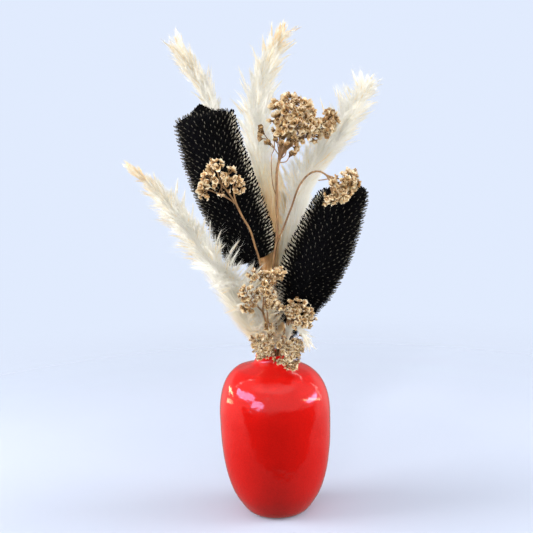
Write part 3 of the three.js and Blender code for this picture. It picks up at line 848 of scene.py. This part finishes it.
def add_dark_hairs(shape, head, rng):
    """Fine dark hairs between the styles, shorter where they face the middle."""
    t = rng.uniform(0.0, 0.995, DARK_HAIRS)
    root, normal = head.skin(t, rng.uniform(0, 2 * np.pi, DARK_HAIRS), -0.3)
    direction = unit(normal + rng.normal(0, 0.33, (DARK_HAIRS, 3)))
    reach = STYLE_LENGTH * rng.uniform(0.55, 1.05, DARK_HAIRS)
    reach = reach * np.interp(head.below_tip(t), CROWN_ZONE, [0.3, 1])
    reach = reach * (1 - 0.7 * over(normal[:, 0] * head.inward, 0.65, 0.2))
    curl = rng.normal(0, 0.7, (DARK_HAIRS, 3))
    spines = grow(root, direction, reach) + curl[:, None] * (HAIR_STEPS**2)[None, :, None]
    tones = along([0, 0.12, 0.30], HAIR_STEPS) * rng.uniform(0.2, 1, DARK_HAIRS)[:, None]
    add_ribbons(shape, spines, rng.uniform(0.2, 0.36, DARK_HAIRS), rng, tones)


def add_stalk(shape, head, neck, sunk, rng):
    """The stalk, furred black where it meets the head."""
    stem = stem_path(neck, [head.foot, head.foot + head.line * sunk])
    add_tube(shape, stem, STEM_RADIUS["banksia"], 16, 60, 0.12)
    end = stem.place_at_height(head.base[2] - 1)
    place = end - rng.uniform(0, 1, STALK_HAIRS) ** 1.3 * FURRED / stem.length
    out = stem.outward(place, rng.uniform(0, 2 * np.pi, STALK_HAIRS))
    direction = unit(out - stem.forward(place) * rng.uniform(-0.2, 1.2, STALK_HAIRS)[:, None])
    spines = grow(stem.at(place) + out * 2.5, direction, rng.uniform(2.5, 8, STALK_HAIRS))
    tones = along([0, 0.12, 0.3], HAIR_STEPS) * rng.uniform(0.3, 1, STALK_HAIRS)[:, None]
    add_ribbons(shape, spines, rng.uniform(0.12, 0.25, STALK_HAIRS), rng, tones)


def make_banksia(name, neck, sunk, pale, seed, material, **core):
    rng = np.random.default_rng(seed)
    head = Head(**core)
    shape = Shape()
    add_core(shape, head, rng)
    add_styles(shape, head, pale, rng)
    add_dark_hairs(shape, head, rng)
    add_stalk(shape, head, neck, sunk, rng)
    make_piece(shape, name + "_head", name, [material])


# ---------------------------------------------------------------- pampas plumes


def add_sheath(shape, path, rng, heights, radii, aside, tan, number):
    """Long smooth fibres that hug a plume's stem between two heights. radii, aside, which is how
    far they stand to the right, and tan are stops between those heights."""
    low, high = (path.place_at_height(height) for height in heights)
    steps = np.linspace(0, 1, 4)
    share = rng.uniform(-0.15, 0.85, number)
    run = rng.uniform(0.18, 0.4, number)
    walk = np.clip(share[:, None] + run[:, None] * steps, 0, 1.05)
    places = low + (high - low) * walk
    angles = rng.uniform(0, 2 * np.pi, (number, 1)) + rng.normal(0, 0.12, (number, 1)) * steps
    depth = np.sqrt(rng.uniform(0.1, 1, number))[:, None]
    spines = path.at(places) + path.outward(places, angles) * (along(radii, walk) * depth)[..., None]
    spines[..., 0] += along(aside, walk)
    tones = along(tan, walk) + rng.normal(0, 0.12, (number, 1))
    add_ribbons(shape, spines, rng.uniform(0.15, 0.30, number), rng, tones)


class Wisps:
    """A plume's wisps: where each leaves the axis, how far out and ahead it ends, how tan it is,
    how loosely its hairs stand and how plump it is."""

    def __init__(self, path, start, rng, number, scale, reach, length, tan, loose, fuller, shift):
        share = (np.arange(number) + rng.uniform(0, 1, number)) / number
        angle = np.arange(number) * GOLDEN_ANGLE + rng.normal(0, 0.4, number)
        self.pointed = np.where(rng.uniform(0, 1, number) < 0.45, 1.0, 0.2)
        size = rng.uniform(0.55, 1.0, number) + 0.12 * self.pointed
        place = start + (1 - start) * share
        self.centre = path.at(place)
        self.centre[:, 0] += along(shift, share)
        self.forward, self.outward = path.forward(place), path.outward(place, angle)
        favour = 1 + np.maximum(self.outward @ np.array(fuller, float), -0.3)
        self.out = along(reach, share) * size * HAIR_REACH * favour
        whole = along(length, share) * size * HAIR_REACH
        self.ahead = np.sqrt(np.maximum(whole**2 - self.out**2, (whole * 0.5) ** 2))
        self.sag = rng.uniform(0.0, 2.5, number) * scale
        calm = np.minimum(along(reach, share) / 12, 1)[:, None]
        self.drift = rng.normal(0, 2.2, (number, 3)) * scale * calm
        self.tans = along(tan, share) + rng.normal(0, 0.09, number)
        self.freedom = along(loose, share)
        self.plump = np.minimum(along(reach, share) / 14, 1)
        self.number, self.scale, self.girth = number, scale, scale**0.5

    def spine(self, which, u):
        """Points along wisps: which is an index array, u is how far along, from 0 to 1."""
        u = u[..., None]
        out, ahead, sag = (v[which][..., None] for v in (self.out, self.ahead, self.sag))
        return (self.centre[which] + self.forward[which] * ahead * u
                + self.outward[which] * out * u**1.15 + self.drift[which] * u**2
                - np.array([0, 0, 1.0]) * sag * u**2)


def add_locks(shape, wisps, rng):
    """The hairs of each wisp, which lie in locks. Some wisps close up to a point at their ends."""
    owner = np.repeat(np.arange(wisps.number), LOCKS_PER_WISP)
    total = len(owner)
    begin = rng.uniform(0, 0.80, total)
    stretch = rng.uniform(0.22, 0.42, total)
    width = np.sqrt(rng.uniform(0, 1, total))
    lateral = unit(rng.normal(0, 1, (total, 3)))
    held = 1 - 0.75 * wisps.pointed[owner]
    flare = rng.rayleigh(0.5, total) * (0.2 + wisps.freedom[owner]) * held
    tint = wisps.tans[owner] + rng.normal(0, 0.21, total)

    # the hairs of a lock differ only a little from each other
    lock = np.repeat(np.arange(total), HAIRS_PER_LOCK)
    which = owner[lock]
    total = len(lock)
    plump = wisps.plump[which]
    begin = begin[lock] + rng.normal(0, 0.03, total)
    u = np.clip(begin[:, None] + stretch[lock][:, None] * HAIR_STEPS, 0, 1.08)
    line = wisps.spine(np.repeat(which[:, None], len(HAIR_STEPS), axis=1), u)
    closing = np.clip(1.12 - u, 0, 1) ** (1.2 * wisps.pointed[which])[:, None]
    closing = closing * np.minimum(u * 4 + 0.3, 1)
    thick = LOCK_WIDTH * wisps.girth * width[lock][:, None] * closing * (0.3 + 0.7 * plump)[:, None]
    flare = flare[lock][:, None] * HAIR_STEPS**1.8 * LOCK_FLARE * wisps.girth
    loose_end = rng.normal(0, 0.22, (total, 3))[:, None] * (0.5 + HAIR_STEPS)[None, :, None]
    spines = line + lateral[lock][:, None] * (thick + flare)[..., None] + loose_end * wisps.girth
    tones = tint[lock][:, None] + rng.normal(0, 0.05, total)[:, None] + 0.10 * (1 - HAIR_STEPS) - 0.03
    broad = 1 + 1.2 * (np.arange(total) % HAIRS_PER_LOCK == 0) * plump
    half = rng.uniform(0.12, 0.22, total) * (0.55 + 0.45 * wisps.scale) * broad
    add_ribbons(shape, spines, half, rng, tones)


def add_fuzz(shape, wisps, rng):
    """Fine loose fuzz off the wisps."""
    total = wisps.number * FUZZ_PER_WISP
    which = rng.integers(0, wisps.number, total)
    begin = rng.uniform(0.1, 1.0, total)
    strewn = rng.normal(0, 1.6, (total, 3)) * (wisps.girth * wisps.plump[which])[:, None]
    origin = wisps.spine(which, begin)
    ahead = unit(wisps.spine(which, begin + 0.05) - origin)
    away = unit(rng.normal(0, 1, (total, 3)))
    direction = unit(ahead + away * (0.3 + 0.5 * wisps.freedom[which])[:, None])
    reach = rng.uniform(3.5, 10, total) * wisps.girth * (0.4 + 0.6 * wisps.freedom[which])
    curve = ahead[:, None] * (HAIR_STEPS**2 * 2.0 * wisps.scale)[None, :, None]
    tones = (wisps.tans[which] * 0.7 + rng.uniform(0, 0.12, total))[:, None] + 0 * HAIR_STEPS
    add_ribbons(shape, grow(origin + strewn, direction, reach) + curve,
                rng.uniform(0.05, 0.09, total), rng, tones)


def add_axis_hairs(shape, path, start, wisps, reach, length, tan, point, rng):
    """Long smooth hairs close to the axis, which end in the plume's point."""
    total = wisps.number * AXIS_HAIRS_PER_WISP
    share = rng.uniform(0, 1, total)
    begin = start + (1 - start) * share
    ahead_of = (1 - share) * path.length * (1 - start) + point
    run = np.minimum(along(length, share) * rng.uniform(0.7, 1.2, total), ahead_of)
    walked = begin[:, None] * path.length + run[:, None] * HAIR_STEPS
    places = np.minimum(walked / path.length, 1)
    beyond = np.maximum(walked - path.length, 0)
    spread = np.sqrt(rng.uniform(0, 1, total)) * 0.7
    width = (along(reach, share) * spread)[:, None] * (0.35 + 0.65 * HAIR_STEPS)
    left_over = (1 - places) * path.length + point - beyond
    narrowing = np.clip(left_over / (22 * wisps.scale), 0.06, 1)
    angles = rng.uniform(0, 2 * np.pi, total)[:, None] + 0 * HAIR_STEPS
    spines = (path.at(places) + path.outward(places, angles) * (width * narrowing)[..., None]
              + path.forward(places) * beyond[..., None])
    tones = (along(tan, share) + rng.normal(0, 0.08, total))[:, None] + 0 * HAIR_STEPS
    half = rng.uniform(0.11, 0.22, total) * (0.55 + 0.45 * wisps.scale)
    add_ribbons(shape, spines, half, rng, tones)


def make_plume(name, neck, axis, hairs_from, reach, length, tan, loose, wisps, kind, seed, material,
               fuller=(0, 0, 0), sheath=None, point=3, shift=(0, 0)):
    rng = np.random.default_rng(seed)
    path = stem_path(neck, axis)
    start = path.place_at_height(hairs_from)
    shape = Shape()
    thickness = np.array([1, 1, 0.8, 0.5, 0.15]) * STEM_RADIUS[kind]
    add_tube(shape, path, thickness, 10, 70, [0.9, 0.8, 0.4, 0.1, 0.1])
    if sheath:
        add_sheath(shape, path, rng, **sheath)
    wisps = Wisps(path, start, rng, wisps, HAIR_SCALE[kind], reach, length, tan, loose, fuller, shift)
    add_locks(shape, wisps, rng)
    add_fuzz(shape, wisps, rng)
    add_axis_hairs(shape, path, start, wisps, reach, length, tan, point, rng)
    make_piece(shape, name + "_plume", name, [material])


# ---------------------------------------------------------------- sprays of florets


def square_to(direction, turn):
    """Two directions square to one and to each other."""
    direction = unit(direction)
    helper = np.array([0.0, 0.0, 1.0]) if abs(direction[2]) < 0.9 else np.array([1.0, 0.0, 0.0])
    first = unit(np.cross(direction, helper))
    second = np.cross(direction, first)
    return (first * math.cos(turn) + second * math.sin(turn),
            second * math.cos(turn) - first * math.sin(turn))


def add_petal(shape, foot, out, across, up, size, gold, rng):
    """A broad papery petal on a narrow foot, cupped, with an uneven rolled edge."""
    v = np.linspace(0, 1, PETAL_ROWS)[:, None]
    w = np.linspace(-1, 1, PETAL_COLUMNS)[None, :]
    width = size * (0.14 + 0.40 * np.sin(np.pi * (0.05 + 0.74 * v**0.8)))
    reach = size * (v - (0.10 + rng.uniform(-0.10, 0.15)) * w**2 * v**2)
    curl = rng.uniform(-0.45, 0.60)
    fold = rng.uniform(0.10, 0.60)
    lift = size * (0.45 * v**0.8 - curl * v**2.2 + fold * w**2 * (0.25 + v) * 0.6)
    lift = lift + size * rng.normal(0, 0.07, (PETAL_ROWS, PETAL_COLUMNS)) * (0.3 + v)
    points = foot + out * reach[..., None] + across * (width * w)[..., None] + up * lift[..., None]
    row, column = np.meshgrid(np.arange(PETAL_ROWS - 1), np.arange(PETAL_COLUMNS - 1), indexing="ij")
    a = row * PETAL_COLUMNS + column
    quads = np.stack([a, a + 1, a + PETAL_COLUMNS + 1, a + PETAL_COLUMNS], axis=-1).reshape(-1, 4)
    # darker towards the foot, partly the floret's own tan middle and partly painted shade deep in the
    # floret, and a little darker along the petal's middle
    tones = 1.1 * (1 - v) ** 1.7 + 0.2 * (1 - np.abs(w)) * rng.uniform(0, 1)
    shape.add(points, [quads], tones + gold + 0.6 * rng.uniform(0, 1) ** 3 - 0.12)


def add_floret(shape, foot, up, size, gold, rng, closed=0.0):
    """One floret: a brown cup and two whorls of papery petals, which curl in over its middle."""
    first, second = square_to(up, rng.uniform(0, 2 * np.pi))
    sides = 6
    turn = turns(sides)
    heights = np.array([0.0, 0.3, 0.7]) * size
    radii = np.array([0.08, 0.24, 0.26]) * size
    circle = first * np.cos(turn)[:, None] + second * np.sin(turn)[:, None]
    cup = foot + up * heights[:, None, None] + circle[None] * radii[:, None, None]
    # the cup takes the darkest tones: its own brown together with painted shade deep in the floret
    shape.add(cup.reshape(-1, 3), [ring_faces(3, sides)], np.repeat([1.0, 0.9, 0.8], sides))
    rim = foot + up * heights[-1] * 0.7
    for petals, tilts, scale in ((5, (-0.3, 0.9), 1.0), (3, (0.8, 2.2), 0.72)):
        for k in range(petals):
            angle = 2 * np.pi * k / petals + rng.normal(0, 0.25)
            out = first * math.cos(angle) + second * math.sin(angle)
            across = second * math.cos(angle) - first * math.sin(angle)
            tilt = rng.uniform(*tilts) + closed
            lean_out, lean_up = unit(out + up * tilt), unit(up - out * tilt)
            add_petal(shape, rim + out * radii[-1] * 0.6, lean_out, across, lean_up,
                      size * scale * rng.uniform(0.75, 1.1), gold, rng)


def add_twigs(shape, twigs, size, gold, rng):
    """Thin side stems, each through its own points, some with closed buds at the end."""
    for points, buds in twigs:
        line = Path(centripetal(points, 8))
        add_tube(shape, line, [TWIG_RADIUS, TWIG_RADIUS * 0.8], 6, 24, 0.5, kind=1)
        end, ahead = line.at(0.97), line.forward(1.0)
        for k in range(buds):
            up = unit(ahead + rng.normal(0, 0.35, 3))
            add_floret(shape, end + ahead * k * 1.6, up, size * 0.95, gold + 0.2, rng, BUD_CLOSED)


def add_cluster(shape, fork, lead, centre, florets, size, gold, spread, rng):
    """A branch from a fork, which sets out along lead, and the dome of florets at its end, each on
    a stalk of its own."""
    away = np.linalg.norm(centre - fork)
    bend = fork + (centre - fork) * 0.4 + lead * away * 0.18
    facing = unit(unit(centre - bend) + np.array([0, -0.5, 0]))
    seat = centre - facing * CLUSTER_SEAT
    branch = Path(bezier(fork, bend, seat, 16))
    add_tube(shape, branch, [BRANCH_RADIUS, BRANCH_RADIUS * 0.75], 7, 14, 0.5, kind=1)
    low = branch.at(0.72)
    first, second = square_to(facing, rng.uniform(0, 2 * np.pi))
    for j in range(florets):
        tilt = math.radians(rng.uniform(0, MIDDLE_TILT))
        if j:
            tilt = math.radians(MIDDLE_TILT + DOME_TILT * math.sqrt(j / max(florets - 1, 1)))
        angle = GOLDEN_ANGLE * j + rng.normal(0, 0.3)
        round_it = first * math.cos(angle) + second * math.sin(angle)
        way = unit(facing * math.cos(tilt) + round_it * math.sin(tilt))
        foot = centre + way * CLUSTER_RADIUS * spread * rng.uniform(0.55, 1.25) - facing * 1.8
        up = unit(way + facing * 0.3 + rng.normal(0, 0.4, 3))
        stalk = Path(bezier(low, seat + way * 0.8, foot, 7))
        add_tube(shape, stalk, PEDICEL_RADIUS, 4, 5, 0.5, kind=1)
        age = gold + rng.normal(0, 0.05)
        add_floret(shape, foot, up, size * rng.uniform(0.7, 1.15), age, rng)


def make_spray(name, neck, stem, radius, size, clusters, seed, petal, twig, gold, fullness,
               spread=1.0, twigs=(), limbs=()):
    rng = np.random.default_rng(seed)
    path = stem_path(neck, stem)
    tip, lead = path.at(1.0), path.forward(1.0)
    shape = Shape()
    add_tube(shape, path, [radius * 1.1, radius, radius * 0.9], 10, 90, 0.5, kind=1)
    stretch = BRANCH_STRETCH / path.length
    limbs = np.array(limbs, float)
    for limb in limbs:
        line = Path(bezier(path.at(1 - stretch * 0.2), tip + (limb - tip) * 0.3 + lead * 3, limb, 12))
        add_tube(shape, line, [radius * 0.75, radius * 0.6], 7, 12, 0.5, kind=1)
    for k, (x, y, z, florets) in enumerate(clusters):
        place = 1 - stretch * (1 - (k + 0.5) / len(clusters))
        fork, centre = path.at(place), np.array([x, y, z], float)
        if len(limbs):
            fork = limbs[np.argmin(np.linalg.norm(limbs - centre, axis=1))]
        add_cluster(shape, fork, path.forward(place), centre, round(florets * fullness), size, gold,
                    spread, rng)
    add_twigs(shape, twigs, size, gold, rng)
    make_piece(shape, name + "_spray", name, [petal, twig])


# ---------------------------------------------------------------- camera, light and floor

CAMERA_ELEVATION = math.radians(10)
CAMERA_ROLL = math.radians(1.986)
CAMERA_DISTANCE = 1100.0
CAMERA_AIM = (-3.58, 0.0, 255.94)
CAMERA_LENS = 74.3

STUDIO_STRENGTH = 0.95
DARK_CENTRE = 0.2  # the dark patch low in front: azimuth, half width and depth, in radians
DARK_HALF_WIDTH = 1.54
DARK_DEPTH = 0.74
FLOOR_RADIUS, FLOOR_DROP = 2400.0, 0.05
FLOOR_FADE = (0.35, 0.95)  # metres from the vase's axis
VASE_MIDDLE, PANEL_DISTANCE = (0, 0, 0.13), 1.5  # metres
BLUISH, WARM, WHITE = (0.56, 0.54, 1.0), (1.0, 0.85, 0.5), (1.0, 0.98, 0.95)
# Each panel: its azimuth from the front and its elevation in degrees, its size in metres, its
# radiance, its colour and, where it is turned about its own middle, its tilt in degrees.
LAMPS = {  # these light the object and leave no reflection
    "side_left": (-86, 18, (0.9, 0.9), 11.5, WHITE),
    "side_right": (86, 15, (0.9, 0.9), 9.5, WHITE),
    "front": (-5, 14, (0.9, 0.9), 2.2, WHITE),
}
REFLECTED = {  # these only show in the glaze
    "window_left": (-70, 23, (1.1, 0.38), 15, BLUISH),
    "window_left_low": (-36, 11, (0.7, 0.26), 15, BLUISH),
    "window_right": (88, 9, (0.9, 0.22), 15, BLUISH),
    "glint_right": (86, 9, (1.3, 0.04), 26, WARM, -20),
    "glint_left": (-114, 8, (0.6, 0.12), 20, WARM),
    "glint_left_low": (-108, -2, (0.5, 0.06), 16, WARM, 12),
    "edge_left": (-102, 46, (0.04, 1.2), 8, WHITE),
    "edge_right": (115, 14, (0.05, 0.9), 8, WHITE),
    "edge_right_high": (134, 47, (1.0, 0.04), 8, WHITE),
}
FILL = (-12, 24, (0.2, 0.2), 1.0, WHITE)  # a narrow lamp for the middle of the plants
FILL_AIM, FILL_SPREAD = (-0.01, 0, 0.31), 13  # metres and degrees


def make_camera():
    forward = np.array([0, math.cos(CAMERA_ELEVATION), -math.sin(CAMERA_ELEVATION)])
    level = np.array([1.0, 0, 0])
    up = np.cross(level, forward)
    right = math.cos(CAMERA_ROLL) * level - math.sin(CAMERA_ROLL) * up
    above = math.sin(CAMERA_ROLL) * level + math.cos(CAMERA_ROLL) * up
    place = (np.array(CAMERA_AIM) - forward * CAMERA_DISTANCE) * MM
    camera = bpy.data.objects.new("camera", bpy.data.cameras.new("camera"))
    camera.data.lens = CAMERA_LENS
    camera.data.sensor_width = 36
    turned = Matrix((right, above, -forward)).transposed().to_4x4()
    camera.matrix_world = Matrix.Translation(Vector(place)) @ turned
    bpy.context.scene.collection.objects.link(camera)
    bpy.context.scene.camera = camera


def make_panel(name, azimuth, elevation, size, radiance, colour, tilt=0, mirrored=True,
               aim=VASE_MIDDLE, spread=180):
    """A soft panel, seen from its aim. A mirrored one only shows in the glaze, and the others only
    light the object."""
    turn, rise = math.radians(azimuth), math.radians(elevation)
    away = Vector((math.sin(turn) * math.cos(rise), -math.cos(turn) * math.cos(rise), math.sin(rise)))
    data = bpy.data.lights.new(name, "AREA")
    data.shape = "RECTANGLE"
    data.size, data.size_y = size
    data.energy = math.pi * size[0] * size[1] * radiance
    data.color = colour
    data.spread = math.radians(spread)
    light = bpy.data.objects.new(name, data)
    place = Matrix.Translation(Vector(aim) + away * PANEL_DISTANCE)
    facing = away.to_track_quat("Z", "Y").to_matrix().to_4x4()
    light.matrix_world = place @ facing @ Matrix.Rotation(math.radians(tilt), 4, "Z")
    light.visible_glossy = mirrored
    light.visible_diffuse = light.visible_transmission = not mirrored
    bpy.context.scene.collection.objects.link(light)


def make_world():
    """A white studio all round that is dark low in front. The camera sees the plain background."""
    n = Nodes("studio", world=True)
    split = n.add("ShaderNodeSeparateXYZ")
    n.join(n.place, split.inputs["Vector"])
    x, y, z = split.outputs
    azimuth = n.math("ARCTAN2", x, n.times(y, -1.0))
    aside = n.math("ABSOLUTE", azimuth)
    elevation = n.math("ARCSINE", z)

    # the dark patch low in front, and the dimmer light from below, from high behind and from over
    # both sides
    across = n.math("DIVIDE", n.math("SUBTRACT", azimuth, DARK_CENTRE), DARK_HALF_WIDTH)
    down = n.math("DIVIDE", elevation, DARK_DEPTH)
    off_centre = n.math("ADD", n.times(across, across), n.times(down, down))
    patch = n.times(n.fade(off_centre, 0.95, 0.0, 0.78, 0.98), n.fade(elevation, 1.0, 0.0, -0.02, 0.12))
    shades = [patch, n.fade(elevation, 0.7, 0.0, -0.5, -0.05),
              n.times(n.fade(aside, 0.0, 0.65, 2.3, 2.8), n.fade(elevation, 1.0, 0.0, 0.2, 0.6)),
              n.times(n.fade(aside, 0.0, 0.6, 1.6, 2.1), n.fade(elevation, 0.0, 1.0, 0.25, 0.5))]
    shade = functools.reduce(lambda one, other: n.math("MAXIMUM", one, other), shades)

    # a glow high in front, for the tops of the plants
    glow = n.times(n.fade(elevation, 0.0, 0.9, 0.72, 0.85), n.fade(elevation, 1.0, 0.0, 1.0, 1.25))
    glow = n.times(glow, n.fade(aside, 1.0, 0.0, 0.9, 1.4))
    strength = n.math("ADD", n.math("SUBTRACT", 1.0, shade), glow)

    studio = n.add("ShaderNodeBackground")
    studio.inputs["Color"].default_value = (1.0, 0.98, 0.96, 1)
    n.join(n.times(strength, STUDIO_STRENGTH), studio.inputs["Strength"])
    seen = n.add("ShaderNodeBackground")
    seen.inputs["Color"].default_value = srgb(0.882, 0.922, 0.996)
    by_camera = n.add("ShaderNodeLightPath").outputs["Is Camera Ray"]
    mixed = n.mix_shader(by_camera, studio.outputs["Background"], seen.outputs["Background"])
    bpy.context.scene.world = n.output(mixed, "ShaderNodeOutputWorld")


def make_floor():
    """A plain pale round floor, which fades out into the background."""
    shape = Shape()
    rings, sides = 24, 96
    radii = (np.linspace(0.03, 1, rings) ** 1.5 * FLOOR_RADIUS)[:, None]
    angles = turns(sides)
    points = np.stack([radii * np.cos(angles), radii * np.sin(angles),
                       np.full((rings, sides), -FLOOR_DROP)], axis=-1).reshape(-1, 3)
    k = np.arange(sides)
    middle = np.stack([np.full(sides, rings * sides), k, (k + 1) % sides], axis=-1)
    shape.add(np.vstack([points, [(0, 0, -FLOOR_DROP)]]), [ring_faces(rings, sides), middle])
    n = Nodes("pale_floor")
    colour = n.ramp(n.noise(3, 2), [(0.4, (0.485, 0.545, 0.68, 1)), (0.6, (0.495, 0.555, 0.69, 1))])
    surface = n.principled(colour, Roughness=0.9, Specular_IOR_Level=0.1)
    distance = n.add("ShaderNodeVectorMath", operation="LENGTH")
    n.join(n.place, distance.inputs[0])
    faded = n.fade(distance.outputs["Value"], 0.0, 1.0, *FLOOR_FADE)
    clear = n.add("ShaderNodeBsdfTransparent").outputs["BSDF"]
    floor = shape.make("floor", [n.output(n.mix_shader(faded, surface, clear))])
    floor.visible_glossy = False
    floor.visible_diffuse = False


make_camera()
make_world()
make_floor()
for panel_name, panel in LAMPS.items():
    make_panel(panel_name, *panel, mirrored=False)
make_panel("fill", *FILL, mirrored=False, aim=FILL_AIM, spread=FILL_SPREAD)
for panel_name, panel in REFLECTED.items():
    make_panel(panel_name, *panel)

make_vase()
BLACK = banksia_material()
for head_name, head in HEADS.items():
    make_banksia(head_name, material=BLACK, **head)
CREAM = pampas_material()
for plume_name, plume in PLUMES.items():
    make_plume(plume_name, material=CREAM, **plume)
PETAL, TWIG = petal_material(), twig_material()
for spray_name, spray in SPRAYS.items():
    make_spray(spray_name, petal=PETAL, twig=TWIG, **spray)

bpy.context.scene.view_settings.view_transform = "Standard"
